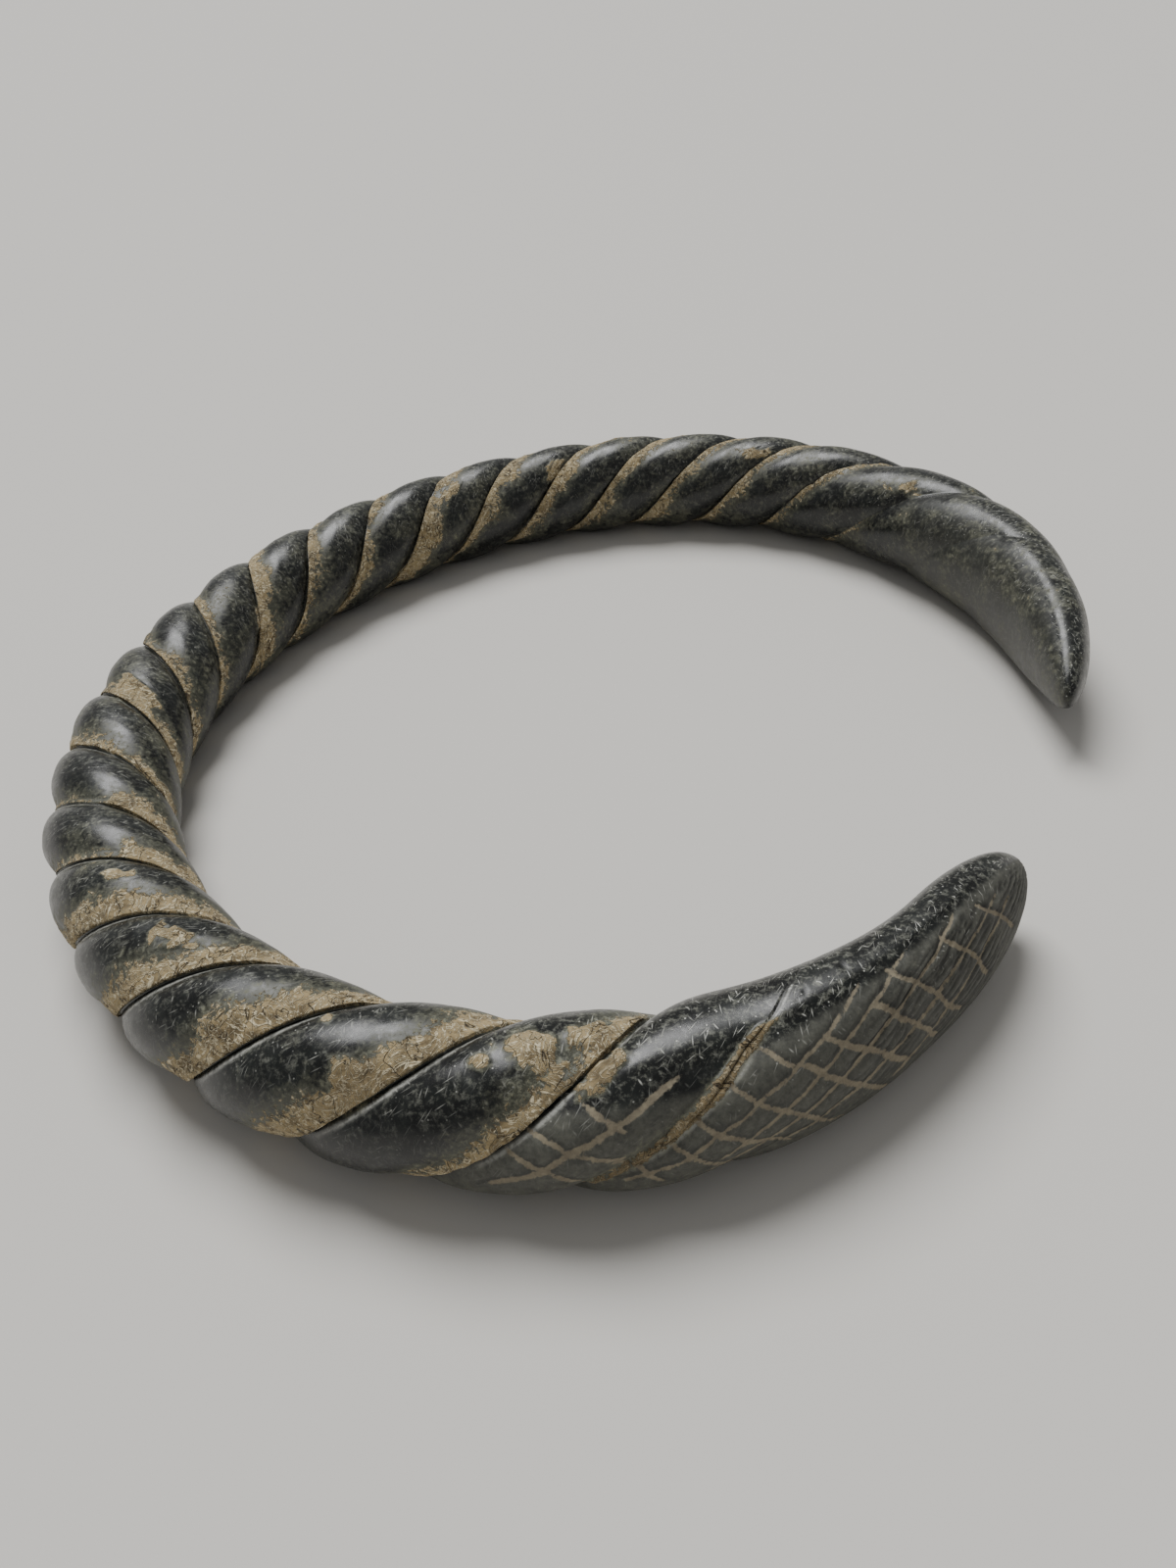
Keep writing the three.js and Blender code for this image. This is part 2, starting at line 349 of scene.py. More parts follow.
# Spots of earth on the strands: from angle and around, to angle and around, radius, roughness of edge
earthSpots = [
    (97.9, 80, 99.8, 92, 0.9, 0.8), (102.5, 77, 102.6, 78, 0.4, 0.5), (92.6, 108, 95.2, 98, 0.6, 0.9),
    (135.6, 84, 132.8, 97, 0.4, 2.2), (146.3, 86, 145.1, 99, 0.4, 2.0), (115.4, 90, 115.5, 91, 0.33, 0.5),
    (94.4, 71, 94.2, 73, 0.5, 0.3), (210, 150, 209, 172, 0.75, 0.9), (328, 112, 329, 115, 0.6, 1.2),
    (112.3, 44, 112.0, 56, 0.9, 0.6), (94.9, 62, 92.7, 82, 0.5, 0.9), (184, 92, 181, 124, 0.8, 1.0),
    (252, 118, 250, 130, 0.5, 1.2), (270, 112, 268, 132, 0.5, 1.2), (303, 106, 300, 118, 0.5, 1.2),
]

earth = {
    "limit": 2, "countSlack": 1e-4, "edge": 0.13, "endDrop": 4, "nearEnd": (93, 85), "farEnd": (320, 334),
    "seamOuter": (-80, -20), "seamInner": (262, 215), "seamWidth": 0.11,
    "thinGrooves": (6, 7), "thinBelow": (112, 100), "thinWidth": 0.06,
    "evenPatches": 0.4, "patchStretch": (140, 190), "broadPatches": 0.9, "smallPatches": 0.8,
    "gapEdge": 0.06, "gapFade": 0.025, "gapLumps": 1.2, "gapRise": 4, "gapTop": (84, 72),
    "gapBottom": (-40, -10),
    "dusting": -1.35, "broadDust": 0.9, "smallDust": 1.2, "frontDust": 1.0, "frontStretch": (165, 135),
    "bladeDust": 1.0, "bladeStretch": (112, 98),
    "flecks": 0.12, "fleckGrain": 1.3, "fleckStart": (328, 342), "fleckOuter": (84, 94),
    "fleckInner": (165, 130),
    "spotLumps": 0.6, "spotCrumbs": 0.9, "spotRise": 3, "spotTop": 0.6,
    "crust": 0.10, "fill": 0.26, "fillReach": 0.13, "lumps": 0.066, "crumbs": 0.088, "fade": (-0.3, 0.8),
    "clumpFrom": (113.6, 44), "clumpTo": (111.2, 62), "clumpRadius": 1.1, "clumpFade": (-0.4, 0.4),
    "clumpDamp": 0.7, "dampStretch": (101, 92), "dampTop": (88, 70),
}

# sizes of the noise that roughens the piece: broad, middling, fine, and the slow bend of the strokes
clumpSizes = (5.0, 1.6, 0.55, 3.0)

wear = {
    # crack settings cut the groove bottoms into the mesh and darken them in colour as painted shade
    "unevenness": 0.06, "tipFade": 2, "crackDepth": 0.08, "crackReach": 0.007, "crackShows": (0.05, 0.3),
    "faintCrack": 0.4, "faintTone": 0.2, "crackClear": (112, 98), "crackEnd": (345, 325),
    "firstCrackStart": (76, 79), "firstCrackEnd": (96, 88), "firstCrackInner": (122, 116),
    "firstCrackOuter": (62, 70),
    # the rim is a pale line along the groove edge, partly wear and partly painted highlight
    "wornEdgeAndHighlight": 0.925, "rimWidth": 0.018, "rimShows": (0.1, 0.5), "rimEnd": (215, 150),
    "rimOuter": (-10, 20), "rimInner": (175, 140), "rimTone": 0.8,
    "chipOffset": 0.024, "chipWidth": 0.01, "chipDepth": 0.03, "chipInner": (104, 92),
    "pitDepth": 0.05, "pitGrain": (0.45, 0.7), "pitZone": (0.1, 0.4),
}

# the dull cut faces, and what hands have rubbed: the strands' crests and the roll, which is the
# rounded upper edge of a blade above its crease
faces = {
    "belowCrease": 5, "creaseEdge": (3, -3),
    "nearUnderside": (-88, -70), "nearGroove": (0.03, -0.03), "nearEnd": (100, 96),
    "secondTop": (50, 42), "secondUnderside": (-70, -50), "secondStart": (0.03, 0.1), "secondEnd": (1, 0.93),
    "farStart": (326, 338), "farTop": (112, 124), "farUnderside": (268, 250), "farDullness": 0.35,
    "rollEnd": (104, 96), "rollEdge": (0, 10), "rollInner": (190, 160),
    "farRollStart": (330, 342), "farRollOuter": (40, 55), "farRollInner": (125, 110),
    "crestStart": (0.3, 0.5), "crestEnd": (1, 0.9), "crestOuter": (20, 60), "crestInner": (170, 130),
    "crestRubbed": 0.6,
}

mmPerAngle = np.radians(1) * ring["radius"]
mmPerAround = np.radians(1) * body["radius"]


def spotField(angle, around, start, end, radius):
    # 1 in the middle of a spot, 0 at its edge and below 0 outside it
    startX, startY = (angle - start[0]) * mmPerAngle, (around - start[1]) * mmPerAround
    endX, endY = (end[0] - start[0]) * mmPerAngle, (end[1] - start[1]) * mmPerAround
    share = np.clip((startX * endX + startY * endY) / (endX ** 2 + endY ** 2), 0, 1)
    return 1 - np.hypot(startX - share * endX, startY - share * endY) / radius


def cutFields(angle, around, middling):
    # how near a point is to an incised line, and to the shaded wall beside it, from 0 to 1
    nearCut = np.zeros_like(angle)
    shade = np.zeros_like(angle)
    for start, lean, low, high, width in cuts:
        steepness = math.hypot(1, lean * mmPerAngle / mmPerAround)
        far = (angle - start - lean * (around - cutting["middle"])) * mmPerAngle / steepness
        far = far + cutting["waver"] * np.sin(cutting["waverTurn"] * around + start)
        far = far + cutting["roughness"] * middling
        inside = ramp(around, (low - cutting["fadeLength"], low))
        inside = inside * ramp(around, (high + cutting["fadeLength"], high))
        nearCut = np.maximum(nearCut, ridge(far, width) * inside)
        offset = cutting["shadeOffset"] if lean < 0 else -cutting["shadeOffset"]
        shade = np.maximum(shade, ridge(far - offset, cutting["shadeWidth"]) * inside)
    return nearCut, shade


def strokeField(angle, around, bending):
    # fine curved chisel strokes that cross at a small angle and crowd the face beside the near tip
    lines = np.zeros_like(angle)
    for lean in cutting["strokeLeans"]:
        phase = (angle + lean * around + cutting["strokeBend"] * bending) / cutting["strokeStep"]
        lines = np.maximum(lines, ridge((phase % 1) - 0.5, cutting["strokeWidth"]))
    zone = ramp(angle, cutting["strokeStretch"]) * ramp(around, cutting["strokeTop"])
    zone = zone * ramp(around, cutting["strokeBottom"])
    faint = cutting["strokeFaint"]
    return lines * zone * (faint + (1 - faint) * ramp(bending, cutting["strokeGaps"]))


def earthField(angle, around, share, broad, middling, fine):
    # positive where earth lies and held within a limit, so that fine noise in the material can
    # break up its edge
    count = grooveCount(angle, np.radians(around))
    number = np.clip(np.floor(count + earth["countSlack"]).astype(int), 0, len(grooveEarth) - 1)
    width = np.array(grooveEarth)[number]
    thin = np.isin(number, earth["thinGrooves"]) * ramp(around, earth["thinBelow"])
    width = width + (earth["thinWidth"] - width) * thin
    seam = ramp(around, earth["seamOuter"]) * ramp(around, earth["seamInner"])
    width = earth["seamWidth"] * (1 - seam) + width * seam
    patchy = earth["evenPatches"] + (1 - earth["evenPatches"]) * ramp(angle, earth["patchStretch"])
    width = width * (1 + patchy * (earth["broadPatches"] * broad + earth["smallPatches"] * middling))
    ends = ramp(angle, earth["farEnd"]) + ramp(angle, earth["nearEnd"])
    field = (width - share) / earth["edge"] - earth["endDrop"] * ends
    # a thin scatter of dust and crumbs, more of it on the back and flecks on the far blade
    scatter = earth["dusting"] + earth["smallDust"] * middling + earth["broadDust"] * broad
    scatter = scatter - earth["frontDust"] * ramp(angle, earth["frontStretch"])
    scatter = scatter - earth["bladeDust"] * ramp(angle, earth["bladeStretch"])
    flecks = ramp(angle, earth["fleckStart"]) * ramp(around, earth["fleckOuter"])
    flecks = flecks * ramp(around, earth["fleckInner"])
    field = np.maximum(field, scatter + flecks * (earth["flecks"] + earth["fleckGrain"] * fine))
    # the first groove keeps earth on both of its walls
    gap = (earth["gapEdge"] - np.abs(count)) / earth["gapFade"] + earth["gapLumps"] * middling
    gapZone = ramp(around, earth["gapTop"]) * ramp(around, earth["gapBottom"])
    field = np.maximum(field, np.minimum(gap, earth["gapRise"] * gapZone - earth["limit"]))
    for fromAngle, fromAround, toAngle, toAround, radius, roughness in earthSpots:
        spot = spotField(angle, around, (fromAngle, fromAround), (toAngle, toAround), radius)
        spot = spot + roughness * (earth["spotLumps"] * middling + earth["spotCrumbs"] * fine)
        field = np.maximum(field, earth["spotRise"] * np.clip(spot, -1, earth["spotTop"]))
    return np.clip(field, -earth["limit"], earth["limit"])


def crackFields(angle, around, share, count, running):
    # the line at the bottom of each groove, darkened as painted shade, the pale line along the edge beside
    # it, partly wear and partly painted highlight, and the first groove's crack over the roll, also painted
    # shade, with the bright chips along it
    edge = np.minimum(share, 1 - share)
    onRoll = ramp(angle, wear["firstCrackStart"]) * ramp(angle, wear["firstCrackEnd"])
    onRoll = onRoll * ramp(around, wear["firstCrackInner"]) * ramp(around, wear["firstCrackOuter"])
    crack = ridge(edge, wear["crackReach"]) * ramp(running, wear["crackShows"])
    crack = crack * ramp(angle, wear["crackEnd"])
    crack = np.maximum(crack, ridge(count, wear["crackReach"]) * onRoll)
    wornEdgeAndHighlight = ridge(share - wear["wornEdgeAndHighlight"], wear["rimWidth"]) * ramp(running, wear["rimShows"])
    wornEdgeAndHighlight = wornEdgeAndHighlight * ramp(angle, wear["rimEnd"]) * ramp(around, wear["rimOuter"]) * ramp(around, wear["rimInner"])
    chip = ridge(count + wear["chipOffset"], wear["chipWidth"]) * onRoll * ramp(around, wear["chipInner"])
    return crack, wornEdgeAndHighlight, chip


def dullField(angle, around, count):
    below = nearCreaseHeight(angle) - faces["belowCrease"]
    near = ramp(around - below, faces["creaseEdge"]) * ramp(around, faces["nearUnderside"])
    near = near * ramp(count, faces["nearGroove"]) * ramp(angle, faces["nearEnd"])
    second = ramp(around, faces["secondTop"]) * ramp(around, faces["secondUnderside"])
    second = second * ramp(count, faces["secondStart"]) * ramp(count, faces["secondEnd"])
    far = ramp(angle, faces["farStart"]) * ramp(around, faces["farTop"]) * ramp(around, faces["farUnderside"])
    return np.clip(near + second + faces["farDullness"] * far, 0, 1)


def rubbedField(angle, around, share):
    below = nearCreaseHeight(angle) - faces["belowCrease"]
    near = ramp(angle, faces["rollEnd"]) * ramp(around - below, faces["rollEdge"])
    near = near * ramp(around, faces["rollInner"])
    far = ramp(angle, faces["farRollStart"]) * ramp(around, faces["farRollOuter"])
    far = far * ramp(around, faces["farRollInner"])
    crest = ramp(share, faces["crestStart"]) * ramp(share, faces["crestEnd"])
    crest = crest * ramp(around, faces["crestOuter"]) * ramp(around, faces["crestInner"])
    return np.clip(near + far + faces["crestRubbed"] * crest, 0, 1)


def dampField(angle, around):
    clump = spotField(angle, around, earth["clumpFrom"], earth["clumpTo"], earth["clumpRadius"])
    low = ramp(angle, earth["dampStretch"]) * ramp(around, earth["dampTop"])
    return np.clip(low + earth["clumpDamp"] * ramp(clump, earth["clumpFade"]), 0, 1)


def carve(piece):
    # moves the mesh in and out for cuts, wear and earth, and writes the fields that the material reads
    mesh = piece.data
    angle, around, share = (readField(mesh, name) for name in ("angle", "around", "share"))
    points = np.zeros(len(mesh.vertices) * 3)
    mesh.vertices.foreach_get("co", points)
    points = points.reshape(-1, 3)
    normals = np.zeros(len(mesh.vertices) * 3)
    mesh.vertices.foreach_get("normal", normals)
    normals = normals.reshape(-1, 3)
    broad, middling, fine, bending = (
        clumps(points / millimetre, size, seed) for seed, size in enumerate(clumpSizes, 1))
    count = grooveCount(angle, np.radians(around))
    running = grooveShare(angle, np.radians(around))

    soil = earthField(angle, around, share, broad, middling, fine)
    covered = ramp(soil, earth["fade"])
    nearCut, cutShade = cutFields(angle, around, middling)
    strokes = strokeField(angle, around, bending)
    crack, wornEdgeAndHighlight, chip = crackFields(angle, around, share, count, running)
    clearCrack = ramp(angle, wear["crackClear"])

    fill = earth["fill"] * ridge(share, earth["fillReach"]) * running
    height = covered * (earth["crust"] + fill + earth["lumps"] * middling + earth["crumbs"] * fine)
    height += wear["unevenness"] * broad
    height -= wear["crackDepth"] * crack * (wear["faintCrack"] + (1 - wear["faintCrack"]) * clearCrack)
    height -= wear["pitDepth"] * ramp(fine, wear["pitGrain"]) * ramp(broad, wear["pitZone"]) * (1 - covered)
    height -= np.maximum(cutting["depth"] * nearCut, cutting["shadeDepth"] * cutShade)
    height -= cutting["strokeDepth"] * strokes + wear["chipDepth"] * chip
    height *= np.minimum(tipShare(angle) * wear["tipFade"], 1)
    points += normals * (height * millimetre)[:, None]
    points[:, 2] = np.maximum(points[:, 2], solidBox[0][2])
    mesh.vertices.foreach_set("co", points.ravel())

    # painted shade: the groove bottoms and the first groove's crack are darkened in colour as well as cut in
    grooveShade = crack * (wear["faintTone"] + (1 - wear["faintTone"]) * clearCrack)
    writeField(mesh, "earth", soil)
    writeField(mesh, "dull", dullField(angle, around, count))
    writeField(mesh, "cut", nearCut)
    # painted shade: the wall beside each incised line, the chisel strokes and the groove bottoms are darkened
    writeField(mesh, "shade", np.clip(cutting["shadeTone"] * cutShade + strokes + grooveShade, 0, 1))
    # a pale line along the groove edges, partly wear and partly painted highlight, and the bright chips
    writeField(mesh, "wornEdgeAndHighlight", np.clip(wear["rimTone"] * wornEdgeAndHighlight + chip, 0, 1))
    writeField(mesh, "rubbed", rubbedField(angle, around, share))
    writeField(mesh, "damp", dampField(angle, around))
    mesh.update()


# Materials

def addNode(tree, kind, settings=None, inputs=None, output=0):
    # adds a node, feeds its sockets with values or other nodes' outputs, and gives back one output
    node = tree.nodes.new("ShaderNode" + kind)
    for name, value in (settings or {}).items():
        setattr(node, name, value)
    for name, value in (inputs or {}).items():
        if isinstance(value, bpy.types.NodeSocket):
            tree.links.new(value, node.inputs[name])
        else:
            node.inputs[name].default_value = value
    return node.outputs[output] if node.outputs else node


def perMetre(size):
    # texture scale for a pattern whose features are size millimetres across
    return 1 / (size * millimetre)


# settings that many nodes share; a colour mix takes its factor at 0 and its colours at 6 and 7,
# and gives the mixed colour at output 2
ofColors = {"data_type": "RGBA"}
soft = {"interpolation_type": "SMOOTHSTEP"}
unclamped = {"clamp": False}
plus = {"operation": "ADD"}
times = {"operation": "MULTIPLY"}
timesPlus = {"operation": "MULTIPLY_ADD"}
larger = {"operation": "MAXIMUM"}
folded = {"operation": "PINGPONG"}

stone = {
    "black": hexColor("#0C0E0D"), "seam": hexColor("#1C201E"), "worn": hexColor("#373A36"),
    "dust": hexColor("#83847A"), "scratch": hexColor("#C4C4BC"), "shade": hexColor("#0D0C0B"),
    "dullDark": hexColor("#373833"), "dullPale": hexColor("#63635A"),
    "cutEarth": hexColor("#A0967F"), "cutDark": hexColor("#736A5A"),
    "ior": 1.57, "specular": 0.4, "polishedRoughness": 0.25, "dullRoughness": 0.6,
    "rubbedDust": 0.72, "shadeStrength": 0.8, "wornRelief": 0.14, "scratchRelief": -0.1,
    "bumpStrength": 0.8, "bumpHeight": 0.1,
}

# patterns in the stone, with their sizes in millimetres, and how much of each shows
stonePatterns = {
    "mottle": {"Scale": perMetre(2.6), "Detail": 5.0, "Roughness": 0.6},
    "mottleShows": {"From Min": 0.42, "From Max": 0.68},
    "worn": {"Scale": perMetre(0.9), "Detail": 8.0, "Roughness": 0.72},
    "wornShows": {"From Min": 0.5, "From Max": 0.72, "To Max": 0.55},
    "wornGloss": {"From Min": 0.3, "From Max": 0.7, "To Min": -0.05, "To Max": 0.14},
    "dust": {"Scale": perMetre(0.35), "Detail": 5.0, "Roughness": 0.75},
    "grain": {"From Min": 0.5, "From Max": 0.7},
    "dusty": {"From Min": 0.42, "From Max": 0.62, "To Min": 0.06, "To Max": 0.4},
    "patches": {"From Min": 0.36, "From Max": 0.62},
    "brokenRim": {"From Min": 0.36, "From Max": 0.56, "To Min": 0.25, "To Max": 0.9},
    "speck": {"Scale": perMetre(0.3)},
    "speckShows": {"From Min": 0.2, "From Max": 0.08},
    "speckChosen": {"From Min": 0.72, "From Max": 0.8},
}

scratches = {
    "length": 2.6, "spacing": 0.34, "directions": (12, 68, 97, 140),
    "chosen": {"From Min": 0.4}, "shows": {"From Min": 0.11, "From Max": 0.02},
    "whereRubbed": {"To Min": 0.15, "To Max": 1.0},
}

soilFinish = {
    "pale": hexColor("#F4E8C6"), "tan": hexColor("#AE9B74"), "brown": hexColor("#695B42"),
    # the darkest colour is painted shade for the crust's cracks and the shaded lines
    "soilShade": hexColor("#2C2318"), "film": hexColor("#8A8A74"),
    "roughness": 0.92, "cutRaggedness": 0.3, "fibreStrength": 0.85, "dampStrength": 0.6,
    "fibreRelief": 0.8, "grainRelief": 0.2, "crackRelief": -0.9,
}

# patterns in the earth; a fold sets how closely the lines of a folded noise run
soilPatterns = {
    "crumbs": {"Scale": perMetre(0.45), "Detail": 6.0, "Roughness": 0.68, "Distortion": 0.6},
    "ragged": {"To Min": -2.5, "To Max": 2.5},
    "crustEdge": {"From Min": 0.0, "From Max": 0.3},
    "filmEdge": {"From Min": -1.7, "From Max": 0.2},
    "filmGrain": {"To Min": 0.3},
    "cutEdge": {"From Min": 0.4, "From Max": 0.72, "To Max": 0.88},
    "clods": {"Scale": perMetre(1.0), "Detail": 6.0, "Roughness": 0.65},
    "hollowShading": {"From Min": 0.55, "From Max": 0.36},
    "grain": {"Scale": perMetre(0.25), "Detail": 3.0, "Roughness": 0.7},
    "darkGrain": {"From Min": 0.5, "From Max": 0.3, "To Max": 0.4},
    "fibres": {"Scale": perMetre(2.6), "Detail": 2.0, "Distortion": 2.6},
    "fineFibres": {"Scale": perMetre(1.6), "Detail": 2.0, "Distortion": 2.2},
    "fibreWidth": {"From Min": 0.02, "From Max": 0.0},
    "cracks": {"Scale": perMetre(2.4), "Detail": 3.0, "Distortion": 1.2},
    "crackWidth": {"From Min": 0.011, "From Max": 0.0},
    "fibresFold": 0.06, "fineFibresFold": 0.07, "cracksFold": 0.12,
}


def earthPlaces(tree, where, field):
    # the mesh says roughly where earth lies, and crumbs of noise break up its edge
    crumbs = addNode(tree, "TexNoise", None, {"Vector": where, **soilPatterns["crumbs"]})
    ragged = addNode(tree, "MapRange", unclamped, {"Value": crumbs, **soilPatterns["ragged"]})
    level = addNode(tree, "Math", plus, {0: field["earth"], 1: ragged})
    crust = addNode(tree, "MapRange", soft, {"Value": level, **soilPatterns["crustEdge"]})
    film = addNode(tree, "MapRange", soft, {"Value": level, **soilPatterns["filmEdge"]})
    cutLevel = addNode(tree, "Math", timesPlus, {0: ragged, 1: soilFinish["cutRaggedness"], 2: field["cut"]})
    inCuts = addNode(tree, "MapRange", soft, {"Value": cutLevel, **soilPatterns["cutEdge"]})
    return crust, film, inCuts


def scratchMarks(tree, where, along, field):
    # straight hairlines: long narrow cells in a few directions, a thin core drawn in some of them,
    # wider than the real ones so that they show, and tiny chips between them
    speck = addNode(tree, "TexVoronoi", None, {"Vector": where, **stonePatterns["speck"]})
    picked = addNode(tree, "SeparateColor", None, {"Color": speck.node.outputs["Color"]})
    picked = addNode(tree, "MapRange", None, {"Value": picked, **stonePatterns["speckChosen"]})
    speck = addNode(tree, "MapRange", None, {"Value": speck, **stonePatterns["speckShows"]})
    marks = addNode(tree, "Math", times, {0: speck, 1: picked})
    for direction in scratches["directions"]:
        place = addNode(tree, "Mapping", {"vector_type": "TEXTURE"}, {
            "Vector": along, "Rotation": (0, 0, math.radians(direction)),
            "Scale": (scratches["length"] * millimetre, scratches["spacing"] * millimetre, 1)})
        cell = addNode(tree, "TexVoronoi", {"voronoi_dimensions": "2D"}, {"Vector": place, "Scale": 1.0})
        picked = addNode(tree, "SeparateColor", None, {"Color": cell.node.outputs["Color"]})
        picked = addNode(tree, "MapRange", None, {"Value": picked, **scratches["chosen"]})
        line = addNode(tree, "MapRange", None, {"Value": cell, **scratches["shows"]})
        line = addNode(tree, "Math", times, {0: line, 1: picked})
        marks = addNode(tree, "Math", larger, {0: marks, 1: line})
    shown = addNode(tree, "MapRange", None, {"Value": field["rubbed"], **scratches["whereRubbed"]})
    return addNode(tree, "Math", times, {0: marks, 1: shown})


def bareStone(tree, where, along, field):
    # black with greenish grey seams, rubbed lighter in places, finely dusty, dull where it was cut, with a
    # pale edge line that is partly painted highlight and painted shade in the cut walls, strokes and groove
    # bottoms
    mottle = addNode(tree, "TexNoise", None, {"Vector": where, **stonePatterns["mottle"]})
    mottle = addNode(tree, "MapRange", None, {"Value": mottle, **stonePatterns["mottleShows"]})
    color = addNode(tree, "Mix", ofColors, {0: mottle, 6: stone["black"], 7: stone["seam"]}, 2)
    worn = addNode(tree, "TexNoise", None, {"Vector": where, **stonePatterns["worn"]})
    wornShown = addNode(tree, "MapRange", None, {"Value": worn, **stonePatterns["wornShows"]})
    color = addNode(tree, "Mix", ofColors, {0: wornShown, 6: color, 7: stone["worn"]}, 2)
    dust = addNode(tree, "TexNoise", None, {"Vector": where, **stonePatterns["dust"]})
    grain = addNode(tree, "MapRange", None, {"Value": dust, **stonePatterns["grain"]})
    dusty = addNode(tree, "MapRange", None, {"Value": worn, **stonePatterns["dusty"]})
    dusty = addNode(tree, "Math", timesPlus, {0: field["rubbed"], 1: stone["rubbedDust"], 2: dusty})
    dusty = addNode(tree, "Math", times, {0: grain, 1: dusty})
    color = addNode(tree, "Mix", ofColors, {0: dusty, 6: color, 7: stone["dust"]}, 2)
    patches = addNode(tree, "Mix", None, {0: 0.5, 2: worn, 3: dust})
    patches = addNode(tree, "MapRange", None, {"Value": patches, **stonePatterns["patches"]})
    dullColor = addNode(tree, "Mix", ofColors, {0: patches, 6: stone["dullDark"], 7: stone["dullPale"]}, 2)
    color = addNode(tree, "Mix", ofColors, {0: field["dull"], 6: color, 7: dullColor}, 2)
    marks = scratchMarks(tree, where, along, field)
    color = addNode(tree, "Mix", ofColors, {0: marks, 6: color, 7: stone["scratch"]}, 2)
    # a pale line along the groove edges, partly wear and partly painted highlight, and the bright chips
    broken = addNode(tree, "MapRange", None, {"Value": dust, **stonePatterns["brokenRim"]})
    wornEdgeAndHighlight = addNode(tree, "Math", times, {0: field["wornEdgeAndHighlight"], 1: broken})
    color = addNode(tree, "Mix", ofColors, {0: wornEdgeAndHighlight, 6: color, 7: stone["scratch"]}, 2)
    # painted shade in the cut walls, the chisel strokes and the groove bottoms
    shade = addNode(tree, "Math", times, {0: field["shade"], 1: stone["shadeStrength"]})
    color = addNode(tree, "Mix", ofColors, {0: shade, 6: color, 7: stone["shade"]}, 2)
    return color, marks, worn, grain, patches


def driedEarth(tree, where, field):
    # tan with curly pale fibres, drawn coarser than the real ones so that they show, browner in the hollows
    # of its relief as painted shade and where it stayed damp, and cracked across, with painted shade in the
    # cracks
    clods = addNode(tree, "TexNoise", None, {"Vector": where, **soilPatterns["clods"]})
    grain = addNode(tree, "TexNoise", None, {"Vector": where, **soilPatterns["grain"]})
    lines = {}
    for name, width in (("fibres", "fibreWidth"), ("fineFibres", "fibreWidth"), ("cracks", "crackWidth")):
        curl = addNode(tree, "TexNoise", None, {"Vector": where, **soilPatterns[name]})
        far = addNode(tree, "Math", folded, {0: curl, 1: soilPatterns[name + "Fold"]})
        lines[name] = addNode(tree, "MapRange", None, {"Value": far, **soilPatterns[width]})
    fibres = addNode(tree, "Math", larger, {0: lines["fibres"], 1: lines["fineFibres"]})
    # painted shade: browner where the clod relief is low
    hollowShade = addNode(tree, "MapRange", None, {"Value": clods, **soilPatterns["hollowShading"]})
    color = addNode(tree, "Mix", ofColors, {0: hollowShade, 6: soilFinish["tan"], 7: soilFinish["brown"]}, 2)
    shown = addNode(tree, "Math", times, {0: fibres, 1: soilFinish["fibreStrength"]})
    color = addNode(tree, "Mix", ofColors, {0: shown, 6: color, 7: soilFinish["pale"]}, 2)
    shown = addNode(tree, "MapRange", None, {"Value": grain, **soilPatterns["darkGrain"]})
    color = addNode(tree, "Mix", ofColors, {0: shown, 6: color, 7: soilFinish["brown"]}, 2)
    shown = addNode(tree, "Math", times, {0: field["damp"], 1: soilFinish["dampStrength"]})
    color = addNode(tree, "Mix", ofColors, {0: shown, 6: color, 7: soilFinish["brown"]}, 2)
    # painted shade: darker in the crust's cracks and under the painted shade lines
    shown = addNode(tree, "Math", larger, {0: lines["cracks"], 1: field["shade"]})
    color = addNode(tree, "Mix", ofColors, {0: shown, 6: color, 7: soilFinish["soilShade"]}, 2)
    height = addNode(tree, "Math", timesPlus, {0: fibres, 1: soilFinish["fibreRelief"], 2: clods})
    height = addNode(tree, "Math", timesPlus, {0: grain, 1: soilFinish["grainRelief"], 2: height})
    height = addNode(tree, "Math", timesPlus, {0: lines["cracks"], 1: soilFinish["crackRelief"], 2: height})
    return color, height


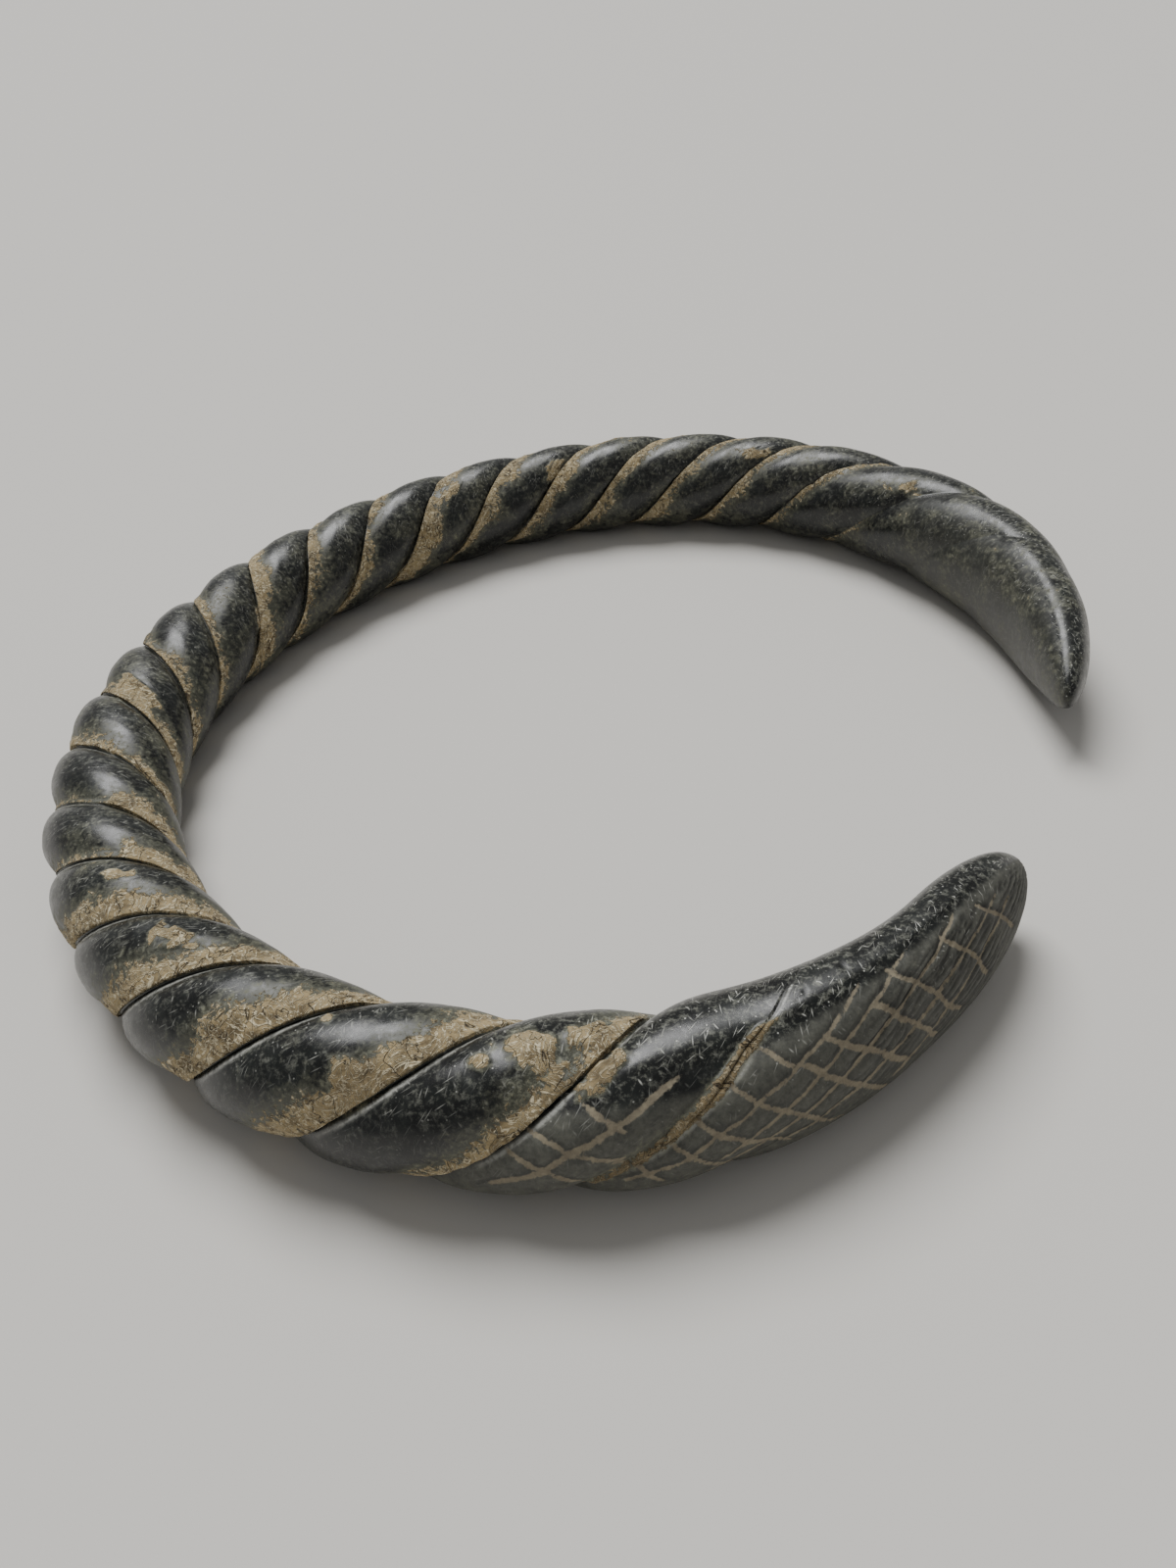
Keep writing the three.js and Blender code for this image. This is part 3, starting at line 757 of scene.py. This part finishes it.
def stoneMaterial():
    # Steatite carved and rubbed smooth: near black, soft-edged highlights, pale hairline scratches.
    # Burial earth has dried in the grooves and cuts: tan, dull and fibrous, cracked across.
    material = bpy.data.materials.new("polishedSteatiteWithDriedEarth")
    material.use_nodes = True
    tree = material.node_tree
    tree.nodes.clear()
    where = addNode(tree, "TexCoord", None, None, "Object")
    along = addNode(tree, "UVMap", {"uv_map": "strandMap"})
    names = ("earth", "dull", "cut", "shade", "wornEdgeAndHighlight", "rubbed", "damp")
    field = {name: addNode(tree, "Attribute", {"attribute_name": name}, None, "Fac") for name in names}
    crust, film, inCuts = earthPlaces(tree, where, field)
    color, marks, worn, grain, patches = bareStone(tree, where, along, field)
    soil, soilHeight = driedEarth(tree, where, field)

    filmGrain = addNode(tree, "MapRange", None, {"Value": grain, **soilPatterns["filmGrain"]})
    film = addNode(tree, "Math", times, {0: film, 1: filmGrain})
    cutColor = addNode(tree, "Mix", ofColors, {0: patches, 6: stone["cutDark"], 7: stone["cutEarth"]}, 2)
    color = addNode(tree, "Mix", ofColors, {0: film, 6: color, 7: soilFinish["film"]}, 2)
    color = addNode(tree, "Mix", ofColors, {0: inCuts, 6: color, 7: cutColor}, 2)
    color = addNode(tree, "Mix", ofColors, {0: crust, 6: color, 7: soil}, 2)

    # glossy where hands rubbed it, dull on the cut faces, matt on earth
    gloss = addNode(tree, "MapRange", None, {
        "Value": field["dull"], "To Min": stone["polishedRoughness"], "To Max": stone["dullRoughness"]})
    smear = addNode(tree, "MapRange", None, {"Value": worn, **stonePatterns["wornGloss"]})
    gloss = addNode(tree, "Math", plus, {0: gloss, 1: smear})
    anyEarth = addNode(tree, "Math", larger, {0: crust, 1: inCuts})
    anyEarth = addNode(tree, "Math", larger, {0: anyEarth, 1: film})
    roughness = addNode(tree, "MapRange", None, {
        "Value": anyEarth, "To Min": gloss, "To Max": soilFinish["roughness"]})

    # fine height, one unit being a tenth of a millimetre
    stoneHeight = addNode(tree, "Math", times, {0: worn, 1: stone["wornRelief"]})
    stoneHeight = addNode(tree, "Math", timesPlus, {0: marks, 1: stone["scratchRelief"], 2: stoneHeight})
    height = addNode(tree, "MapRange", None, {"Value": crust, "To Min": stoneHeight, "To Max": soilHeight})
    bump = addNode(tree, "Bump", None, {
        "Strength": stone["bumpStrength"], "Distance": stone["bumpHeight"] * millimetre, "Height": height})
    shader = addNode(tree, "BsdfPrincipled", None, {
        "Base Color": color, "Roughness": roughness, "IOR": stone["ior"],
        "Specular IOR Level": stone["specular"], "Normal": bump})
    addNode(tree, "OutputMaterial", None, {"Surface": shader})
    return material


bangle = makeBand()
carve(bangle)
bangle.data.materials.clear()
bangle.data.materials.append(stoneMaterial())
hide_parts("bangle")
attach(bangle, "root")
print("bangle done", len(bangle.data.polygons), "faces")


# The studio: pale floor, one broad soft light, dim surroundings

studio = {
    "floorSize": 24.0, "floorColor": "#DEDBD5", "floorRoughness": 0.75,
    "sunStrength": 3.0, "sunWidth": 36, "sunHeight": 60, "sunFrom": 105,
    "worldColor": "#FFFFFF", "worldStrength": 0.27,
}


def makeStudio():
    deselectAll()
    bpy.ops.mesh.primitive_plane_add(size=studio["floorSize"], location=(0, 0, 0))
    floor = bpy.context.object
    floor.name = "paleFloor"
    # matt studio paper, no grain to be seen
    material = bpy.data.materials.new("palePaper")
    material.use_nodes = True
    paper = material.node_tree.nodes["Principled BSDF"]
    paper.inputs["Base Color"].default_value = hexColor(studio["floorColor"])
    paper.inputs["Roughness"].default_value = studio["floorRoughness"]
    floor.data.materials.append(material)
    deselectAll()
    bpy.ops.object.light_add(type="SUN")
    key = bpy.context.object
    key.name = "softKey"
    key.data.energy = studio["sunStrength"]
    key.data.angle = math.radians(studio["sunWidth"])
    key.rotation_euler = (0, math.radians(90 - studio["sunHeight"]), math.radians(studio["sunFrom"]))
    world = bpy.data.worlds.new("dimRoom")
    bpy.context.scene.world = world
    world.use_nodes = True
    air = world.node_tree.nodes["Background"]
    air.inputs["Color"].default_value = hexColor(studio["worldColor"])
    air.inputs["Strength"].default_value = studio["worldStrength"]


makeStudio()
print("studio done")


# The camera, at the photograph's angle: place in millimetres, angles in degrees

view = {"stand": (-0.46, -71.9, 50.77), "down": 37.72, "roll": -7.57, "lens": 25.92}


def placeCamera():
    down, roll = math.radians(view["down"]), math.radians(view["roll"])
    level, upright = Vector((1, 0, 0)), Vector((0, math.sin(down), math.cos(down)))
    right = level * math.cos(roll) + upright * math.sin(roll)
    up = upright * math.cos(roll) - level * math.sin(roll)
    data = bpy.data.cameras.new("view")
    data.lens = view["lens"]
    data.clip_start = millimetre
    camera = bpy.data.objects.new("view", data)
    bpy.context.scene.collection.objects.link(camera)
    turned = Matrix((right, up, right.cross(up))).transposed().to_4x4()
    camera.matrix_world = Matrix.Translation(Vector(view["stand"]) * millimetre) @ turned
    bpy.context.scene.camera = camera


placeCamera()
print("camera done")
